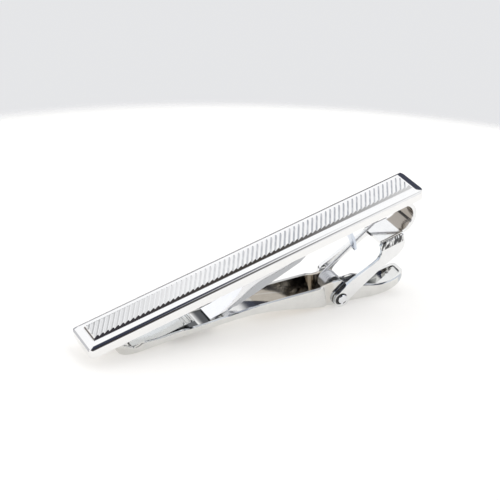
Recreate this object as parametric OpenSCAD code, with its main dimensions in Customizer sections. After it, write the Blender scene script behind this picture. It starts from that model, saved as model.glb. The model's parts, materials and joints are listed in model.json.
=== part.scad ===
// Spring-loaded tie bar: a ribbed front bar carrying a sprung jaw clasp on its back.
// The clip stands on its jaw tip and the lobes of its frame, as on a table: +Z is straight up
// and the bar slopes along X. The origin is the middle of the bar's back face.
// Each module draws along the bar: Y across, z = 0 at its back face, and X from the point that
// the jaw's drawing starts at, which lies bar_start before the bar's left end.

/* [Front bar] */
// overall length of the bar
bar_length = 57.5; // [40:0.5:75]
// where the left end lies in the drawing of the clasp
bar_start = 0.5; // [0:0.1:2]
// width of the bar
bar_width = 6.2; // [4:0.1:10]
// thickness of the bar
bar_thick = 1.8; // [1:0.1:3]
// radius of the rounded long edges
edge_r = 0.8; // [0.1:0.05:0.9]
// length of the sloped nose at each end
end_slope = 1.1; // [0.3:0.1:2]
// height that the end nose drops
end_drop = 0.34; // [0.1:0.02:0.6]
// corner radius seen from above
corner_r = 0.9; // [0.2:0.1:2]
// slope of the bar when the clip stands on its jaw
stand_tilt = 16.6; // [0:0.1:25]

/* [Ribbed panel] */
// distance from the left end to the panel
panel_left = 1.45; // [1:0.05:4]
// distance from the right end to the panel
panel_right = 1.3; // [1:0.05:4]
// width of the raised panel at its foot
panel_width = 3.52; // [2:0.02:5]
// height of the grooves' floor above the rim
panel_rise = 0.26; // [0.1:0.02:0.6]
// slope of the panel's flanks from flat
flank_slope = 53; // [35:1:80]
// spacing of the ribs along the bar
rib_pitch = 0.81; // [0.5:0.01:2]
// slant of the ribs from straight across
rib_slant = 34; // [0:1:50]
// height of a rib above the grooves' floor
rib_height = 0.2; // [0.05:0.01:0.4]

/* [Clasp frame] */
// sheet thickness of the frame
frame_t = 0.6; // [0.4:0.05:0.9]
// half width of the folded strip
frame_half = 2.0; // [1.5:0.05:2.6]
// outside radius of the folded end
fold_r = 2.9; // [2:0.1:4]
// position of the fold centre along the bar
fold_x = 54.2; // [50:0.1:56]
// where the soldered flange starts
flange_x = 47.0; // [44:0.1:50]
// where the return strip is cut off
strip_x = 50.0; // [47:0.1:52]
// radius of the ear lobe around the rivet
lobe_r = 1.45; // [1.1:0.05:2]

/* [Pivot] */
// rivet axis, distance along the bar
pivot_x = 42.0; // [38:0.1:46]
// rivet axis, height below the back face
pivot_z = -12.35; // [-15:0.05:-9]
// rivet shank radius
pin_r = 0.55; // [0.4:0.01:0.7]
// radius of the formed rivet heads
pin_head_r = 0.85; // [0.7:0.01:1.1]
// running clearance of the jaw on the rivet
pin_gap = 0.05; // [0.02:0.01:0.1]

/* [Jaw] */
// sheet thickness of the jaw channel
jaw_t = 0.45; // [0.3:0.05:0.6]
// half width of the front of the jaw
jaw_half = 2.4; // [1.8:0.05:2.6]
// half width of the cheeks and tail
tail_half = 1.9; // [1.5:0.05:1.95]
// thickness of the raised tooth plate
tooth_t = 0.2; // [0.15:0.05:0.4]
// half width of the tooth plate
tooth_half = 1.6; // [1:0.05:1.9]

/* [Grip leaf] */
// sheet thickness of the leaf
leaf_t = 0.3; // [0.2:0.05:0.5]
// half width of the leaf
leaf_half = 1.5; // [1:0.05:1.9]

/* [Spring] */
// wire radius
wire_r = 0.25; // [0.15:0.01:0.35]
// coil radius to the middle of the wire
coil_r = 1.35; // [1:0.05:2]
// coil centre along the bar
coil_x = 41.5; // [39:0.05:44]
// coil centre below the back face
coil_z = -10.2; // [-12:0.05:-8]
// middle of the farthest turn
coil_far_y = 1.15; // [0.5:0.05:1.3]
// number of closed turns
coil_turns = 5; // [3:1:6]

/* [Hidden] */
$fn = 48;
half_w = bar_width / 2;
panel_len = bar_length - panel_left - panel_right;
ear_in = frame_half;
ear_out = frame_half + frame_t;
wire_pitch = 2 * wire_r - 0.03;
leg_r = wire_r - 0.03;
steps = 5;

// smooth curve through a list of stations
function cr(a, b, c, d, t) =
    0.5 * ((2 * b) + (c - a) * t + (2 * a - 5 * b + 4 * c - d) * t * t
    + (3 * b - a - 3 * c + d) * t * t * t);
function at(p, i) = p[max(0, min(len(p) - 1, i))];
function smooth(p) = concat(
    [for (i = [0:len(p) - 2]) for (k = [0:steps - 1])
        cr(at(p, i - 1), p[i], at(p, i + 1), at(p, i + 2), k / steps)],
    [p[len(p) - 1]]);
function flip(p) = [for (i = [len(p) - 1:-1:0]) p[i]];
function drop(p, d) = [for (q = p) [q[0], q[1] + d]];

// side views are drawn in X-Z and given a width from y0 to y1
module slab(y0, y1) {
    translate([0, y1, 0])
        rotate([90, 0, 0])
            linear_extrude(height = y1 - y0)
                children();
}

// moves what is drawn onto the bar's middle, and stands the clip up
module seat() {
    rotate([0, -stand_tilt, 0])
        translate([-bar_start - bar_length / 2, 0, 0])
            children();
}

// ---- front bar -------------------------------------------------------------
module bar_outline() {
    hull_w = half_w - corner_r;
    translate([corner_r, -half_w])
        square([bar_length - 2 * corner_r, bar_width]);
    translate([0, -hull_w])
        square([bar_length, 2 * hull_w]);
    for (x = [corner_r, bar_length - corner_r])
        for (s = [-1, 1])
            translate([x, s * hull_w])
                circle(r = corner_r);
}

module bar_section() {
    translate([-half_w, 0])
        square([bar_width, bar_thick - edge_r]);
    translate([-half_w + edge_r, 0])
        square([bar_width - 2 * edge_r, bar_thick]);
    for (s = [-1, 1])
        translate([s * (half_w - edge_r), bar_thick - edge_r])
            circle(r = edge_r);
}

module bar_blank() {
    intersection() {
        linear_extrude(height = bar_thick)
            bar_outline();
        rotate([90, 0, 90])
            linear_extrude(height = bar_length)
                bar_section();
        slab(-half_w, half_w)
            polygon([[0, 0], [bar_length, 0],
                     [bar_length, bar_thick - end_drop],
                     [bar_length - end_slope, bar_thick],
                     [end_slope, bar_thick],
                     [0, bar_thick - end_drop]]);
    }
}

// sloping flanks that trim the panel and its ribs on all four sides
module panel_envelope() {
    foot = bar_thick - 0.05;
    high = panel_rise + rib_height + 0.1;
    lean = high / tan(flank_slope);
    half = panel_width / 2;
    right = bar_length - panel_right;
    intersection() {
        slab(-half, half)
            polygon([[panel_left, foot], [right, foot], [right, bar_thick],
                     [right - lean, bar_thick + high],
                     [panel_left + lean, bar_thick + high],
                     [panel_left, bar_thick]]);
        rotate([90, 0, 90])
            linear_extrude(height = bar_length)
                polygon([[-half, foot], [half, foot], [half, bar_thick],
                         [half - lean, bar_thick + high],
                         [-half + lean, bar_thick + high],
                         [-half, bar_thick]]);
    }
}

module rib(x) {
    w = rib_pitch * cos(rib_slant);
    translate([x, 0, bar_thick + panel_rise])
        rotate([0, 0, -rib_slant])
            translate([0, panel_width, 0])
                rotate([90, 0, 0])
                    linear_extrude(height = 2 * panel_width)
                        polygon([[0, -0.1], [w, -0.1], [w, 0.01],
                                 [0.8 * w, rib_height], [0.62 * w, rib_height],
                                 [0, 0.01]]);
}

module front_bar() {
    reach = panel_width / 2 * tan(rib_slant);
    first = panel_left - reach;
    count = ceil((panel_len + 2 * reach) / rib_pitch);
    color([0.86, 0.87, 0.9])
    seat()
    translate([bar_start, 0, 0]) {
        bar_blank();
        intersection() {
            panel_envelope();
            union() {
                translate([0, -half_w, 0])
                    cube([bar_length, bar_width, bar_thick + panel_rise - 0.02]);
                for (i = [0:count])
                    rib(first + (i - 1) * rib_pitch);
            }
        }
    }
}

// ---- grip leaf: soldered tab, curved tongue and the hook that guards the spring ----
leaf_top = [[41.0, 0], [39.6, -0.25], [38, -1.05], [34.2, -1.75], [31.5, -2.0],
            [29.2, -2.2], [27.2, -2.75], [24.9, -3.75], [22.6, -4.45], [19.9, -4.62]];
hook_line = [[44.6, 0], [45.3, -0.75], [45.9, -2.0], [46.3, -3.4], [46.45, -4.6],
             [46.45, -5.7]];
module grip_leaf() {
    top = smooth(leaf_top);
    hook = smooth(hook_line);
    color([0.8, 0.82, 0.85])
    seat() {
        slab(-leaf_half, leaf_half)
            polygon(concat([[44.6, 0]], top, flip(drop(top, -leaf_t)),
                           [[41.2, -leaf_t], [44.4, -leaf_t]]));
        // flanks bent down along the tongue
        for (s = [-1, 1])
            slab(s > 0 ? leaf_half - leaf_t : -leaf_half,
                 s > 0 ? leaf_half : -leaf_half + leaf_t)
                polygon([[37.6, -1.3], [34.2, -1.85], [31.5, -2.1], [29.2, -2.3],
                         [27.2, -2.85], [24.9, -3.85], [23.4, -4.35],
                         [24.5, -4.55], [28.7, -3.75], [32.3, -3.0], [36, -2.2]]);
        intersection() {
            slab(-0.8, 0.8)
                polygon(concat([[44.2, 0]], hook,
                               [for (q = flip(hook)) [q[0] - 0.42, q[1] - 0.12]],
                               [[44.2, -leaf_t]]));
            // the hook narrows to a point
            translate([40, 0, 0])
                rotate([90, 0, 90])
                    linear_extrude(height = 10)
                        polygon([[-0.9, 0.1], [0.9, 0.1], [0.9, -3.6], [0.1, -5.6],
                                 [-0.9, -5.8]]);
        }
    }
}

// ---- clasp frame -----------------------------------------------------------
near_ear = [[49.75, -5.8], [49.9, -6.9], [49.35, -8.05], [47.8, -8.72], [44.0, -9.75],
            [41.05, -11.25]];
near_low = [[43.35, -12.9], [45.3, -11.95], [47.3, -11.05], [49.3, -10.12],
            [51.2, -9.5], [52.8, -8.95], [53.8, -8.2], [54.2, -7.2], [54.15, -5.8]];
far_top = [[49.75, -5.8], [49.3, -6.0], [46.0, -6.95], [43.1, -7.85], [41.5, -8.35],
           [40.75, -9.4], [40.6, -11.8]];
far_low = [[43.35, -12.6], [43.1, -11.2], [43.3, -9.9], [44.5, -9.05], [45.9, -8.4],
           [48.3, -7.45], [50.2, -6.85], [52.6, -6.7], [53.9, -6.4], [54.15, -5.8]];
module ear(side, y0, upper, lower) {
    difference() {
        union() {
            slab(y0, y0 + frame_t)
                polygon(concat(smooth(upper), [[pivot_x, pivot_z]], smooth(lower)));
            slab(y0, y0 + frame_t)
                translate([pivot_x, pivot_z])
                    circle(r = lobe_r);
        }
        // rivet hole, with a countersunk mouth outside
        slab(y0 - 1, y0 + frame_t + 1)
            translate([pivot_x, pivot_z])
                circle(r = pin_r + 0.02);
        translate([pivot_x, side > 0 ? y0 + frame_t - 0.22 : y0 + 0.22, pivot_z])
            rotate([side > 0 ? -90 : 90, 0, 0])
                cylinder(r1 = pin_r + 0.12, r2 = pin_head_r + 0.42, h = 0.45);
    }
}

module clasp_frame() {
    fz = -fold_r;
    color([0.84, 0.85, 0.87])
    seat() {
        // soldered flange, fold and return strip
        slab(-frame_half, frame_half) {
            translate([flange_x, -frame_t])
                square([fold_x - flange_x, frame_t]);
            translate([strip_x, -2 * fold_r])
                square([fold_x - strip_x, frame_t]);
            intersection() {
                difference() {
                    translate([fold_x, fz])
                        circle(r = fold_r);
                    translate([fold_x, fz])
                        circle(r = fold_r - frame_t);
                }
                translate([fold_x - 0.01, -2 * fold_r - 1])
                    square([fold_r + 2, 2 * fold_r + 2]);
            }
        }
        // rolled corners between the strip and both ears
        for (s = [-1, 1])
            intersection() {
                translate([strip_x, s * frame_half, -2 * fold_r])
                    rotate([0, 90, 0])
                        cylinder(r = frame_t, h = fold_x - strip_x);
                translate([strip_x, s > 0 ? ear_in : -ear_out, -2 * fold_r])
                    cube([fold_x - strip_x, frame_t, frame_t]);
            }
        ear(-1, -ear_out, near_ear, near_low);
        ear(1, ear_in, far_top, far_low);
    }
}

// ---- rivet -----------------------------------------------------------------
module pivot_pin() {
    color([0.78, 0.79, 0.82])
    seat()
        translate([pivot_x, 0, pivot_z])
            rotate([90, 0, 0]) {
                cylinder(r = pin_r, h = 2 * ear_out - 0.2, center = true);
                for (s = [0, 180])
                    rotate([s, 0, 0]) {
                        translate([0, 0, ear_out - 0.2])
                            cylinder(r1 = pin_r, r2 = pin_head_r - 0.05, h = 0.2);
                        translate([0, 0, ear_out])
                            cylinder(r1 = pin_head_r - 0.05, r2 = pin_head_r - 0.2,
                                     h = 0.14);
                    }
            }
}

// ---- torsion spring --------------------------------------------------------
module wire(a, b) {
    d = b - a;
    length = norm(d);
    translate(a)
        rotate([0, acos(d[2] / length), atan2(d[1], d[0])])
            cylinder(r = leg_r, h = length);
}

module torsion_spring() {
    near_y = coil_far_y - (coil_turns - 1) * wire_pitch;
    up = 115.5;
    start = [coil_x + coil_r * cos(up), coil_far_y, coil_z + coil_r * sin(up)];
    tip = start + 16.8 * [sin(up), 0, -cos(up)];
    low = [coil_x + 0.15, near_y, coil_z - coil_r];
    knee = [44.2, near_y, coil_z - coil_r + 0.12];
    foot = [49.9, near_y, -15.1];
    color([0.72, 0.73, 0.75])
    seat() {
        for (i = [0:coil_turns - 1])
            translate([coil_x, coil_far_y - i * wire_pitch, coil_z])
                rotate([90, 0, 0])
                    rotate_extrude()
                        translate([coil_r, 0])
                            circle(r = wire_r, $fn = 20);
        wire(start, tip);
        wire(low, knee);
        wire(knee, foot);
        translate(knee)
            sphere(r = wire_r - 0.01);
    }
}

// ---- jaw lever: one folded channel with cheeks, thumb tail and curled tip ----
jaw_low = [[4.9, -2.2], [5.6, -3.0], [9.5, -3.6], [13.0, -4.12], [17.6, -5.0],
           [20.0, -5.5], [22.6, -6.0], [26.0, -6.75], [29.4, -7.95], [32.8, -9.45],
           [36.2, -11.15], [39.2, -12.55], [41.4, -13.45], [43.7, -14.1],
           [46.0, -14.8], [48.3, -15.55], [50.8, -15.95], [52.6, -15.65],
           [53.8, -14.95], [54.4, -14.2]];
jaw_high = [[4.9, -1.15], [6.6, -1.85], [7.3, -2.35], [8.0, -2.4], [8.9, -2.25],
            [11.3, -2.9], [14.3, -3.35], [17.7, -4.15], [21.0, -4.75], [24.4, -5.3],
            [27.5, -5.85], [31.3, -6.75], [34.8, -7.6], [38.3, -8.45],
            [40.2, -8.85], [41.6, -9.1], [42.4, -9.3], [43.1, -10.0],
            [43.8, -11.3], [44.8, -12.2], [46.6, -12.6], [48.2, -13.45],
            [50.0, -14.2], [51.6, -14.5], [53.2, -14.35], [54.4, -14.0]];

module jaw_plan(inset) {
    a = jaw_half - inset;
    b = tail_half - inset;
    tip_x = 4.9 + inset;
    end_x = 54.4 - inset;
    polygon(concat(
        [for (t = [0:15:90]) [tip_x + 3.2 - 3.2 * cos(t), -a * (0.42 + 0.58 * sin(t))]],
        [[37.9, -a], [38.6, -(a * 0.85 + b * 0.15)], [39.4, -(a * 0.12 + b * 0.88)],
         [40.1, -b]],
        [for (t = [0:15:90]) [end_x - 2.2 + 2.2 * sin(t), -b * (0.45 + 0.55 * cos(t))]],
        [for (t = [90:-15:0]) [end_x - 2.2 + 2.2 * sin(t), b * (0.45 + 0.55 * cos(t))]],
        [[40.1, b], [39.4, a * 0.12 + b * 0.88], [38.6, a * 0.85 + b * 0.15],
         [37.9, a]],
        [for (t = [90:-15:0]) [tip_x + 3.2 - 3.2 * cos(t), a * (0.42 + 0.58 * sin(t))]]));
}

module jaw_lever() {
    low = smooth(jaw_low);
    high = smooth(jaw_high);
    color([0.85, 0.86, 0.88])
    seat()
        difference() {
            union() {
                difference() {
                    intersection() {
                        slab(-3, 3)
                            polygon(concat(low, flip(high)));
                        translate([0, 0, -20])
                            linear_extrude(height = 20)
                                jaw_plan(0);
                    }
                    intersection() {
                        slab(-3, 3)
                            polygon(concat(drop(low, jaw_t), [[56, 0], [3, 0]]));
                        translate([0, 0, -20])
                            linear_extrude(height = 20)
                                jaw_plan(jaw_t);
                    }
                }
                // pressed dimples that keep the coil in place between the cheeks
                for (s = [-1, 1])
                    translate([coil_x, s * (tail_half - 0.2), coil_z])
                        rotate([s * 90, 0, 0])
                            cylinder(r = coil_r - wire_r - 0.15, h = s > 0 ? 0.46 : 0.9);
            }
            slab(-3, 3)
                translate([pivot_x, pivot_z])
                    circle(r = pin_r + pin_gap);
        }
}

// ---- raised tooth plate lying in the front of the jaw ------------------------
tooth_line = [[7.2, -2.48], [9.0, -2.84], [12.0, -3.28], [14.6, -3.33], [16.4, -3.18],
              [17.4, -3.23]];
module jaw_tooth() {
    top = smooth(tooth_line);
    color([0.88, 0.89, 0.92])
    seat() {
        slab(-tooth_half, tooth_half)
            polygon(concat(top, flip(drop(top, -tooth_t))));
        // two grip ridges at the free end
        for (x = [15.9, 16.8])
            slab(-tooth_half, tooth_half)
                polygon([[x - 0.25, -3.32], [x + 0.25, -3.32], [x + 0.12, -2.96],
                         [x - 0.05, -2.96]]);
    }
}

front_bar();
grip_leaf();
clasp_frame();
pivot_pin();
torsion_spring();
jaw_lever();
jaw_tooth();
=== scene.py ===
"""Looks of a sprung tie bar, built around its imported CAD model. Metres, in the CAD's own frame."""

import json
import math

import bmesh
import bpy
from mathutils import Matrix, Vector


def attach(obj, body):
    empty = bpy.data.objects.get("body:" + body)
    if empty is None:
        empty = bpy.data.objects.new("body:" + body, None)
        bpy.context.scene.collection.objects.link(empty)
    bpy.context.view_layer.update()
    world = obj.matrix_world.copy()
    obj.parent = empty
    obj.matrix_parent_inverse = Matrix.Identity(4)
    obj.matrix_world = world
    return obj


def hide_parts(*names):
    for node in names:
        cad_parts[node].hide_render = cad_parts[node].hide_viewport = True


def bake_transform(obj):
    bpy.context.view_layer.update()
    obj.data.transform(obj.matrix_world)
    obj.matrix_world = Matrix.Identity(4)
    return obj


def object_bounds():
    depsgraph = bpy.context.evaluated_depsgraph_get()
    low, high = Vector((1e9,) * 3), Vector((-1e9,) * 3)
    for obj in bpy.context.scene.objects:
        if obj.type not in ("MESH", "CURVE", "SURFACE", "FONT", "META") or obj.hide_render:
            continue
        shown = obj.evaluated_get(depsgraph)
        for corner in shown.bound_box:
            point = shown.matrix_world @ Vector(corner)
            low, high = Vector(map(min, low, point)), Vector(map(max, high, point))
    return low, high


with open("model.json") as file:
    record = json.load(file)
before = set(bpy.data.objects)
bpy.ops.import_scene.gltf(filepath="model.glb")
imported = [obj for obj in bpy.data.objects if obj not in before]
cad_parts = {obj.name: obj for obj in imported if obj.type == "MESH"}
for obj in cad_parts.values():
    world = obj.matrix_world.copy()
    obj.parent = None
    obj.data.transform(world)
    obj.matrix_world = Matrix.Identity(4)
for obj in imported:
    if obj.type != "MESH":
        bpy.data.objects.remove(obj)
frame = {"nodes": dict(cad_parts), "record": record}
cad_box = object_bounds()

MM = 0.001
FLOOR_Z = cad_box[0].z

# ---- drawing coordinates ----------------------------------------------------------------------
# The parts are described in millimetres: x along the bar, y across it, z up from its back face.
# The zero of x lies this far before the bar's left end.
BAR_START = 0.5
MOUNTS = {m["name"]: m for m in frame["record"]["mounts"]}
BACK_AXIS = Vector(MOUNTS["bar_back"]["axis"])
ALONG_BAR = Matrix.Rotation(-math.atan2(BACK_AXIS.x, -BACK_AXIS.z), 4, "Y")


def bar_left_end():
    """The bar's left end, in metres along the bar from the frame's origin."""
    level = ALONG_BAR.inverted()
    return min((level @ v.co).x for v in frame["nodes"]["front_bar"].data.vertices)


SEAT = ALONG_BAR @ Matrix.Translation((bar_left_end() - BAR_START * MM, 0, 0)) @ Matrix.Scale(MM, 4)
DRAWN = SEAT.inverted()

# the ribbed panel, as in the CAD
RIM_Z = 1.8
PANEL_LEFT = BAR_START + 1.45
PANEL_WIDTH = 3.52
RIB_PITCH = 0.81
RIB_SLANT = math.radians(34)


# ---- node material helpers --------------------------------------------------------------------
def new_material(name):
    m = bpy.data.materials.new(name)
    m.use_nodes = True
    tree = m.node_tree
    tree.nodes.clear()
    out = tree.nodes.new("ShaderNodeOutputMaterial")
    shader = tree.nodes.new("ShaderNodeBsdfPrincipled")
    tree.links.new(shader.outputs[0], out.inputs[0])
    return m, tree, shader


def noise(tree, scale, detail=4.0, stretch=(1, 1, 1)):
    where = tree.nodes.new("ShaderNodeTexCoord")
    mapping = tree.nodes.new("ShaderNodeMapping")
    mapping.inputs["Scale"].default_value = stretch
    n = tree.nodes.new("ShaderNodeTexNoise")
    n.inputs["Scale"].default_value = scale
    n.inputs["Detail"].default_value = detail
    tree.links.new(where.outputs["Object"], mapping.inputs[0])
    tree.links.new(mapping.outputs[0], n.inputs["Vector"])
    return n.outputs[0]


def steps(tree, value, start, end, low=0.0, high=1.0, kind="SMOOTHSTEP"):
    """Runs from low to high while the value runs from start to end."""
    r = tree.nodes.new("ShaderNodeMapRange")
    r.interpolation_type = kind
    r.inputs["From Min"].default_value = start
    r.inputs["From Max"].default_value = end
    r.inputs["To Min"].default_value = low
    r.inputs["To Max"].default_value = high
    tree.links.new(value, r.inputs["Value"])
    return r.outputs[0]


def maths(tree, operation, value, other):
    """One step of arithmetic on a socket; the other operand is a socket or a plain number."""
    m = tree.nodes.new("ShaderNodeMath")
    m.operation = operation
    tree.links.new(value, m.inputs[0])
    if isinstance(other, (int, float)):
        m.inputs[1].default_value = other
    else:
        tree.links.new(other, m.inputs[1])
    return m.outputs[0]


def dot(tree, value, direction):
    d = tree.nodes.new("ShaderNodeVectorMath")
    d.operation = "DOT_PRODUCT"
    d.inputs[1].default_value = direction
    tree.links.new(value, d.inputs[0])
    return d.outputs["Value"]


def distance(tree, value, point):
    d = tree.nodes.new("ShaderNodeVectorMath")
    d.operation = "DISTANCE"
    d.inputs[1].default_value = point
    tree.links.new(value, d.inputs[0])
    return d.outputs["Value"]


def product(tree, values):
    total = values[0]
    for v in values[1:]:
        total = maths(tree, "MULTIPLY", total, v)
    return total


def object_place(tree):
    return tree.nodes.new("ShaderNodeTexCoord").outputs["Object"]


def mix_colour(tree, factor, a, b):
    """Mixes two colours, each a socket or three plain numbers."""
    m = tree.nodes.new("ShaderNodeMix")
    m.data_type = "RGBA"
    for socket, colour in ((m.inputs[6], a), (m.inputs[7], b)):
        if isinstance(colour, tuple):
            socket.default_value = (*colour, 1)
        else:
            tree.links.new(colour, socket)
    tree.links.new(factor, m.inputs[0])
    return m.outputs[2]


def bump(tree, height, strength, depth, after=None):
    b = tree.nodes.new("ShaderNodeBump")
    b.inputs["Strength"].default_value = strength
    b.inputs["Distance"].default_value = depth
    tree.links.new(height, b.inputs["Height"])
    if after is not None:
        tree.links.new(after, b.inputs["Normal"])
    return b.outputs[0]


# ---- masks: each gives a function that builds a 0 to 1 value in a material's tree ---------------
def drawing(tree):
    """Drawing coordinates of the shaded point, as three value sockets."""
    where = object_place(tree)
    return [maths(tree, "ADD", dot(tree, where, DRAWN[i][:3]), DRAWN[i][3]) for i in range(3)]


def box_mask(x, y, z, soft):
    """1 inside a box of drawing coordinates, fading to 0 at its sides."""
    def build(tree):
        parts = []
        for value, (low, high) in zip(drawing(tree), (x, y, z)):
            parts.append(steps(tree, value, low - soft, low + soft))
            parts.append(steps(tree, value, high + soft, high - soft))
        return product(tree, parts)
    return build


def streaks(box, scale, stretch):
    """Short strokes inside a box."""
    return lambda tree: product(tree, [box(tree),
                                       steps(tree, noise(tree, scale, 2, stretch), 0.44, 0.54)])


def rib_lines(share, soft, grows):
    """Mask of the painted rib reflections: 1 on the falling side of each slanted rib, growing along the
    bar between two places.
    """
    first = PANEL_LEFT - PANEL_WIDTH / 2 * math.tan(RIB_SLANT)

    def build(tree):
        px, py, pz = drawing(tree)
        sheared = maths(tree, "SUBTRACT", px, maths(tree, "MULTIPLY", py, math.tan(RIB_SLANT)))
        count = maths(tree, "DIVIDE", maths(tree, "SUBTRACT", sheared, first), RIB_PITCH)
        line = steps(tree, maths(tree, "FRACT", count, 0), share - soft, share + soft)
        growth = steps(tree, px, grows[0], grows[1], 0.25, 1.0)
        broken = steps(tree, noise(tree, 900, 3), 0.3, 0.6, 0.55, 1.0)
        panel = box_mask((2.3, 56.5), (-1.4, 1.45), (2.0, 2.4), 0.03)(tree)
        return product(tree, [line, growth, broken, panel])
    return build


def bore_mask(x, z, radius, soft, y):
    """1 inside a cylinder across the bar, on the near side of y."""
    def build(tree):
        px, py, pz = drawing(tree)
        here = tree.nodes.new("ShaderNodeCombineXYZ")
        tree.links.new(px, here.inputs[0])
        tree.links.new(pz, here.inputs[2])
        gap = distance(tree, here.outputs[0], (x, 0, z))
        return product(tree, [steps(tree, gap, radius + soft, radius - soft),
                              steps(tree, py, y + 0.05, y - 0.05)])
    return build


# ---- metals -----------------------------------------------------------------------------------
RIPPLE_DEPTH = 0.00002
SCRATCH_DEPTH = 0.000004


def plated(name, light, dark, rough, ripple=0.25, scratch=0.12):
    """Polished plating: faint haze, buffing ripples and hairline scratches."""
    m, tree, shader = new_material(name)
    tree.links.new(mix_colour(tree, noise(tree, 900, 5), dark, light), shader.inputs["Base Color"])
    shader.inputs["Metallic"].default_value = 1
    tree.links.new(steps(tree, noise(tree, 1600, 6), 0, 1, rough[0], rough[1], "LINEAR"),
                   shader.inputs["Roughness"])
    waves = bump(tree, noise(tree, 260, 2), ripple, RIPPLE_DEPTH)
    hair = bump(tree, noise(tree, 2500, 3, (0.05, 1, 1)), scratch, SCRATCH_DEPTH, waves)
    tree.links.new(hair, shader.inputs["Normal"])
    return m


def link_of(m, name):
    """Material tree, the shader's input of that name and what already feeds it."""
    tree = m.node_tree
    shader = next(n for n in tree.nodes if n.bl_idname == "ShaderNodeBsdfPrincipled")
    return tree, shader.inputs[name], shader.inputs[name].links[0].from_socket


def tinted(m, mask, colour, amount):
    """Colours the plating where the mask is 1."""
    tree, socket, old = link_of(m, "Base Color")
    tree.links.new(mix_colour(tree, maths(tree, "MULTIPLY", mask(tree), amount), old, colour), socket)


def knurled(m, mask, scale, stretch, depth):
    """Rough pressed marks where the mask is 1."""
    tree, socket, old = link_of(m, "Normal")
    marks = product(tree, [mask(tree), noise(tree, scale, 2, stretch)])
    tree.links.new(bump(tree, marks, 1.0, depth, old), socket)


def bar_metal():
    m = plated("bar_plating", (0.90, 0.895, 0.885), (0.85, 0.85, 0.85), (0.03, 0.09))
    # painted reflection: dark lines along the far edge and round the left end
    tinted(m, box_mask((-0.5, 57.2), (2.5, 2.78), (1.2, 2.2), 0.05), (0.20, 0.20, 0.22), 0.75)
    tinted(m, box_mask((0.52, 0.8), (-2.7, 2.7), (1.2, 2.2), 0.06), (0.32, 0.32, 0.34), 0.7)
    # painted reflection: the steep side of every rib is darker, more so towards the hinged end
    tinted(m, rib_lines(0.70, 0.02, (14, 40)), (0.30, 0.32, 0.36), 0.85)
    # painted dark reflection on the panel's left flank
    tinted(m, box_mask((1.8, 2.14), (-1.62, 1.62), (1.83, 2.4), 0.05), (0.06, 0.045, 0.04), 0.9)
    return m


def leaf_metal():
    m = plated("leaf_plating", (0.92, 0.925, 0.94), (0.84, 0.85, 0.88), (0.05, 0.12), 0.4, 0.2)
    # painted reflections: the sheared flanks are greyer than the polished top, and the hook is bluish
    tinted(m, box_mask((23, 37), (-1.7, -1.32), (-4.9, -1.2), 0.06), (0.42, 0.43, 0.45), 0.9)
    tinted(m, box_mask((43.8, 46.8), (-1, 1), (-6, -1.5), 0.3), (0.52, 0.58, 0.68), 0.75)
    return m


def frame_metal():
    m = plated("frame_plating", (0.88, 0.88, 0.875), (0.78, 0.785, 0.79), (0.06, 0.16), 0.5, 0.2)
    # painted reflection: blue-grey on the sheared edges of both ears
    tinted(m, box_mask((40, 50.6), (-2.5, -2.08), (-14.5, -5.4), 0.04), (0.50, 0.55, 0.61), 0.85)
    # blackened strokes pressed into the near bend
    bend = box_mask((49.9, 53.9), (-2.75, -2.1), (-6.75, -5.35), 0.08)
    stroke_scale, stroke_stretch = 3200, (1.0, 0.3, 0.25)
    tinted(m, streaks(bend, stroke_scale, stroke_stretch), (0.03, 0.03, 0.032), 0.95)
    knurled(m, bend, stroke_scale, stroke_stretch, 0.0002)
    # painted reflection: brownish inside of the fold; painted shade: the dark mouth of the near rivet
    # hole
    tinted(m, box_mask((53.9, 56.6), (-1.85, 1.85), (-5.3, -0.5), 0.12), (0.20, 0.16, 0.115), 0.75)
    tinted(m, bore_mask(41.7, -12.15, 1.02, 0.06, -2.3), (0.02, 0.02, 0.022), 0.95)
    return m


def jaw_metal():
    m = plated("jaw_plating", (0.80, 0.795, 0.775), (0.67, 0.67, 0.655), (0.05, 0.15), 0.5, 0.2)
    # painted shade: the floor just behind the tooth plate and the hollow of the tail are dark
    tinted(m, box_mask((18.2, 20.4), (-1.6, 1.8), (-5.9, -4.7), 0.12), (0.02, 0.024, 0.03), 0.92)
    tinted(m, box_mask((48.2, 51.0), (-1.45, 1.45), (-15.4, -14.3), 0.12), (0.03, 0.045, 0.045), 0.92)
    # painted shade on the strip of floor under the tooth plate, with a painted gold highlight in it
    tinted(m, box_mask((13.4, 17.9), (-1.97, 1.7), (-5.0, -3.55), 0.08), (0.04, 0.045, 0.05), 0.9)
    tinted(m, box_mask((15.3, 16.5), (-1.99, -1.7), (-5.0, -4.1), 0.08), (0.85, 0.66, 0.25), 0.95)
    # painted reflection: brownish inside the channel, towards the rivet
    tinted(m, box_mask((28, 41), (-1.9, 1.9), (-12.5, -5.5), 0.25), (0.45, 0.37, 0.27), 0.5)
    # painted reflection: blue-grey on the sheared top edges of the flanges and of the tail
    tinted(m, box_mask((9, 37.5), (-2.32, -2.03), (-12, -1), 0.03), (0.50, 0.53, 0.57), 0.8)
    tinted(m, box_mask((40.5, 54.5), (-1.82, -1.53), (-16, -9), 0.03), (0.50, 0.53, 0.57), 0.8)
    return m


def tooth_metal():
    m = plated("tooth_plating", (0.70, 0.715, 0.72), (0.58, 0.60, 0.60), (0.08, 0.18), 0.5, 0.3)
    # painted shade: two dark lines along the creases across its free end
    for crease in ((16.75, 17.05), (17.8, 17.98)):
        tinted(m, box_mask(crease, (-1.7, 1.7), (-5.9, -3.0), 0.04), (0.03, 0.03, 0.035), 0.9)
    return m


def rivet_metal():
    return plated("rivet_plating", (0.90, 0.905, 0.92), (0.76, 0.77, 0.80), (0.10, 0.22), 0.6, 0.2)


def wire_metal():
    return plated("drawn_wire", (0.86, 0.87, 0.89), (0.66, 0.67, 0.70), (0.12, 0.26), 0.3, 0.3)


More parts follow.
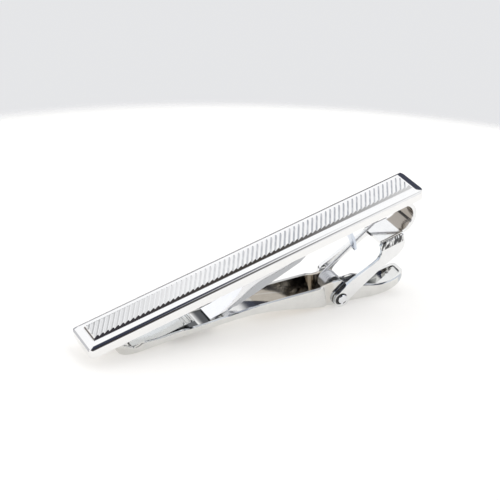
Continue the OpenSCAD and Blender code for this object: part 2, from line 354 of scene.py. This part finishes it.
# ---- pieces that keep the CAD's shape, with rounded edges ---------------------------------------
WELD = 2e-6
NEARLY_FLAT = math.radians(0.5)
SHARP = math.radians(28)
# edges of the ribs get this share of the bar's rounding, and faces below this area stay flat
RIB_ROUNDING = 0.12
RIB_FACE_AREA = 4e-6


def above(corners, z):
    return all((DRAWN @ v.co).z > z for v in corners)


def mark_edges(bm, ribbed):
    """Tells the bevel which edges to round, and shades everything smooth except the ribs."""
    weight = bm.edges.layers.float.new("bevel_weight_edge")
    for e in bm.edges:
        if len(e.link_faces) == 2 and e.calc_face_angle(0) > SHARP:
            e[weight] = RIB_ROUNDING if ribbed and above(e.verts, RIM_Z + 0.01) else 1.0
    for f in bm.faces:
        flat = ribbed and above(f.verts, RIM_Z - 0.02) and f.calc_area() < RIB_FACE_AREA
        f.smooth = not flat


def finished_copy(node, piece, material, body, edge, ribbed=False):
    """A welded copy of a CAD node, its sharp edges rounded and its curves shaded smooth."""
    mesh = frame["nodes"][node].data.copy()
    obj = bpy.data.objects.new(piece, mesh)
    bpy.context.scene.collection.objects.link(obj)
    bm = bmesh.new()
    bm.from_mesh(mesh)
    bmesh.ops.remove_doubles(bm, verts=bm.verts, dist=WELD)
    bmesh.ops.dissolve_limit(bm, angle_limit=NEARLY_FLAT, verts=bm.verts, edges=bm.edges)
    mark_edges(bm, ribbed)
    bm.to_mesh(mesh)
    bm.free()
    mesh.materials.clear()
    mesh.materials.append(material)
    if "custom_normal" in mesh.attributes:
        mesh.attributes.remove(mesh.attributes["custom_normal"])
    rounding = obj.modifiers.new("rounding", "BEVEL")
    rounding.width = edge * MM
    rounding.segments = 3
    rounding.limit_method = "WEIGHT"
    rounding.use_clamp_overlap = True
    flats = obj.modifiers.new("flats", "WEIGHTED_NORMAL")
    flats.keep_sharp = True
    flats.weight = 80
    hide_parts(node)
    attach(obj, body)


finished_copy("front_bar", "bar_body", bar_metal(), "clasp", 0.16, ribbed=True)
finished_copy("grip_leaf", "leaf_body", leaf_metal(), "clasp", 0.07)
finished_copy("clasp_frame", "frame_body", frame_metal(), "clasp", 0.13)
finished_copy("pivot_pin", "rivet_body", rivet_metal(), "clasp", 0.05)
finished_copy("jaw_lever", "jaw_body", jaw_metal(), "jaw", 0.09)
finished_copy("jaw_tooth", "tooth_body", tooth_metal(), "jaw", 0.06)


# ---- torsion spring: one wire wound as a helix, with both legs ----------------------------------
PIVOT = DRAWN @ Vector(frame["record"]["behaviour"]["joints"][0]["pos_m"])
COIL = Vector((PIVOT.x - 0.5, 0, PIVOT.z + 2.15))
COIL_RADIUS = 1.35
COIL_TURNS = 5
COIL_STEPS = 150
COIL_NEAR = -0.73
COIL_FAR = 1.15
WIRE_RADIUS = 0.215
# stations along the straight leg, and the bent leg's points as x and z
LONG_LEG = (0.6, 2.0, 5.0, 9.0, 13.0, 16.6)
TAIL_LEG = ((49.9, -15.1), (47.0, -13.24), (44.9, -11.9), (44.2, -11.5), (43.4, -11.46), (42.4, -11.52))


def spring_path():
    """Middle line of the wire in drawing coordinates, from the jaw's leg to the leaf's leg."""
    first = math.radians(-88)
    last = math.radians(115.5)
    wound = 2 * math.pi * COIL_TURNS - (last - first)
    path = [Vector((x, COIL_NEAR, z)) for x, z in TAIL_LEG]
    for i in range(COIL_STEPS + 1):
        share = i / COIL_STEPS
        a = first - share * wound
        path.append(COIL + Vector((COIL_RADIUS * math.cos(a),
                                   COIL_NEAR + (COIL_FAR - COIL_NEAR) * share,
                                   COIL_RADIUS * math.sin(a))))
    start = path[-1]
    away = Vector((math.sin(last), 0, -math.cos(last)))
    path += [start + away * t for t in LONG_LEG]
    return path


def tube(name, path, radius, sides, material):
    """A round wire along a path, with chamfered ends."""
    bm = bmesh.new()
    rings = []
    turns = [2 * math.pi * k / sides for k in range(sides)]
    across = Vector((0, 1, 0))
    for i, p in enumerate(path):
        ahead = (path[min(i + 1, len(path) - 1)] - path[max(i - 1, 0)]).normalized()
        u = (across - ahead * across.dot(ahead)).normalized()
        v = ahead.cross(u)
        rings.append([bm.verts.new(SEAT @ (p + (u * math.cos(t) + v * math.sin(t)) * radius))
                      for t in turns])
    for a, b in zip(rings, rings[1:]):
        for k in range(sides):
            n = (k + 1) % sides
            bm.faces.new((a[k], a[n], b[n], b[k]))
    chamfer, shrink = 0.06, 0.72
    for ring, outwards, order in ((rings[0], path[0] - path[1], 1), (rings[-1], path[-1] - path[-2], -1)):
        middle = sum((v.co for v in ring), Vector()) / sides
        out = SEAT.to_3x3() @ (outwards.normalized() * chamfer)
        cap = [bm.verts.new(middle + (v.co - middle) * shrink + out) for v in ring]
        for k in range(sides):
            n = (k + 1) % sides
            bm.faces.new((ring[n], ring[k], cap[k], cap[n])[::order])
        bm.faces.new(cap[::-order])
    bmesh.ops.recalc_face_normals(bm, faces=bm.faces)
    for f in bm.faces:
        f.smooth = True
    mesh = bpy.data.meshes.new(name)
    bm.to_mesh(mesh)
    bm.free()
    mesh.materials.append(material)
    obj = bpy.data.objects.new(name, mesh)
    bpy.context.scene.collection.objects.link(obj)
    return obj


spring = tube("spring_body", spring_path(), WIRE_RADIUS, 20, wire_metal())
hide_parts("torsion_spring")
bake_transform(spring)

# ---- table, light and camera --------------------------------------------------------------------
CAMERA_AT = Vector((-0.09728, -0.13572, 0.10311))
CAMERA_LOOKS_AT = Vector((0.01055, 0.01682, -0.00964))
CAMERA_ROLL = math.radians(8.61)
LENS = 95.2
SENSOR = 36.0

# the table is placed so that its far edge shows behind the object
TABLE_CENTRE = Vector((-0.0159, -0.1016, FLOOR_Z))
TABLE_RADIUS = 0.1748
RIM_FADE = 0.003

SOFTBOX_WATTS = 1.6
SOFTBOX_SIZE = 0.5
SOFTBOX_AT = Vector((0.12, 0.1, 0.55))

# brightness of the room from straight below to straight above
ROOM = ((0.0, 0.80), (0.36, 0.80), (0.48, 0.90), (0.60, 1.02), (0.72, 1.10), (1.0, 1.15))
ROOM_TONE = (0.985, 0.992, 1.01)
NAVY = (0.010, 0.016, 0.045)
BROWN = (0.030, 0.022, 0.018)

# Dark things that the polished faces mirror. For x, y and z of the direction: where each starts
# to fade in, is full, starts to fade out and is gone; then its colour and its strength.
DARK_THINGS = (
    # low in front: the dark side of the room behind the camera
    (((-0.75, -0.5, 0.18, 0.37), (-1.2, -1.1, -0.3, -0.15), (0.08, 0.2, 0.62, 0.70)), BROWN, 0.97),
    # high in front, on the left only
    (((-0.75, -0.5, 0.02, 0.15), (-1.2, -1.1, -0.10, 0.02), (0.5, 0.6, 1.1, 1.2)), NAVY, 0.97),
    # behind on the right
    (((0.40, 0.52, 0.85, 0.95), (0.42, 0.54, 0.85, 0.95), (0.25, 0.36, 0.56, 0.66)), NAVY, 0.95),
    # horizon behind
    (((-0.35, -0.2, 0.6, 0.75), (0.5, 0.65, 1.1, 1.2), (-0.34, -0.22, 0.12, 0.28)),
     (0.025, 0.03, 0.04), 0.95),
    # above that horizon, for the bar's far edge
    (((-0.02, 0.08, 0.45, 0.6), (0.6, 0.75, 1.1, 1.2), (0.0, 0.15, 0.44, 0.58)),
     (0.03, 0.035, 0.05), 0.95),
    # low behind on the left
    (((-0.95, -0.85, -0.3, -0.1), (0.45, 0.6, 1.1, 1.2), (-0.32, -0.2, 0.14, 0.2)),
     (0.05, 0.055, 0.07), 0.9),
    # right side, at any depth
    (((0.70, 0.85, 1.1, 1.2), None, (-0.2, -0.05, 0.5, 0.7)), (0.16, 0.17, 0.2), 0.8),
)


def make_camera():
    data = bpy.data.cameras.new("camera")
    data.lens = LENS
    data.sensor_width = SENSOR
    data.clip_start, data.clip_end = 0.005, 20
    cam = bpy.data.objects.new("camera", data)
    aim = (CAMERA_LOOKS_AT - CAMERA_AT).to_track_quat("-Z", "Y").to_matrix().to_4x4()
    cam.matrix_world = Matrix.Translation(CAMERA_AT) @ aim @ Matrix.Rotation(CAMERA_ROLL, 4, "Z")
    bpy.context.scene.collection.objects.link(cam)
    bpy.context.scene.camera = cam


def fade_rim(tree, shader):
    """The table's rim turns clear over a few millimetres, so that it looks soft."""
    out = shader.outputs[0].links[0].to_node
    clear = tree.nodes.new("ShaderNodeBsdfTransparent")
    blend = tree.nodes.new("ShaderNodeMixShader")
    gap = distance(tree, object_place(tree), TABLE_CENTRE)
    tree.links.new(steps(tree, gap, TABLE_RADIUS + RIM_FADE, TABLE_RADIUS - RIM_FADE), blend.inputs[0])
    tree.links.new(clear.outputs[0], blend.inputs[1])
    tree.links.new(shader.outputs[0], blend.inputs[2])
    tree.links.new(blend.outputs[0], out.inputs[0])


def make_table():
    """A round white table."""
    bm = bmesh.new()
    bmesh.ops.create_circle(bm, cap_ends=True, segments=256, radius=TABLE_RADIUS + 2 * RIM_FADE,
                            matrix=Matrix.Translation(TABLE_CENTRE))
    mesh = bpy.data.meshes.new("table")
    bm.to_mesh(mesh)
    bm.free()
    table = bpy.data.objects.new("table", mesh)
    bpy.context.scene.collection.objects.link(table)
    m, tree, shader = new_material("table_white")
    shader.inputs["Roughness"].default_value = 0.6
    tree.links.new(mix_colour(tree, noise(tree, 40, 3), (0.945, 0.935, 0.915), (0.955, 0.945, 0.925)),
                   shader.inputs["Base Color"])
    fade_rim(tree, shader)
    mesh.materials.append(m)


def make_room(tree, height):
    """The plain pale room: brighter towards the ceiling."""
    ramp = tree.nodes.new("ShaderNodeValToRGB")
    tree.links.new(steps(tree, height, -1, 1, kind="LINEAR"), ramp.inputs[0])
    while len(ramp.color_ramp.elements) < len(ROOM):
        ramp.color_ramp.elements.new(0.5)
    for stop, (place, v) in zip(ramp.color_ramp.elements, ROOM):
        stop.position = place
        stop.color = (*(v * tone for tone in ROOM_TONE), 1)
    return ramp.outputs[0]


def make_world():
    """A white studio with the few dark things that the polished faces mirror."""
    world = bpy.data.worlds.new("studio")
    world.use_nodes = True
    tree = world.node_tree
    tree.nodes.clear()
    out = tree.nodes.new("ShaderNodeOutputWorld")
    light = tree.nodes.new("ShaderNodeBackground")
    tree.links.new(light.outputs[0], out.inputs[0])
    where = tree.nodes.new("ShaderNodeTexCoord")
    split = tree.nodes.new("ShaderNodeSeparateXYZ")
    tree.links.new(where.outputs["Generated"], split.inputs[0])
    plain = make_room(tree, split.outputs[2])
    mirrored = plain
    for spans, dark, amount in DARK_THINGS:
        parts = []
        for value, span in zip(split.outputs, spans):
            if span:
                fades_in, full, fades_out, gone = span
                parts.append(steps(tree, value, fades_in, full))
                parts.append(steps(tree, value, gone, fades_out))
        mask = maths(tree, "MULTIPLY", product(tree, parts), amount)
        mirrored = mix_colour(tree, mask, mirrored, dark)
    # seen directly, the room is a plain pale backdrop
    seen = tree.nodes.new("ShaderNodeLightPath").outputs["Is Camera Ray"]
    tree.links.new(mix_colour(tree, seen, mirrored, plain), light.inputs["Color"])
    bpy.context.scene.world = world


def make_softbox():
    """One large soft lamp overhead; it lights the table and isn't mirrored."""
    data = bpy.data.lights.new("softbox", "AREA")
    data.shape = "DISK"
    data.size = SOFTBOX_SIZE
    data.energy = SOFTBOX_WATTS
    data.use_shadow = False
    data.color = (1.0, 0.985, 0.96)
    lamp = bpy.data.objects.new("softbox", data)
    lamp.location = SOFTBOX_AT
    lamp.rotation_euler = SOFTBOX_AT.to_track_quat("Z", "Y").to_euler()
    lamp.visible_glossy = False
    bpy.context.scene.collection.objects.link(lamp)


bpy.context.scene.view_settings.view_transform = "Standard"
make_camera()
make_table()
make_world()
make_softbox()
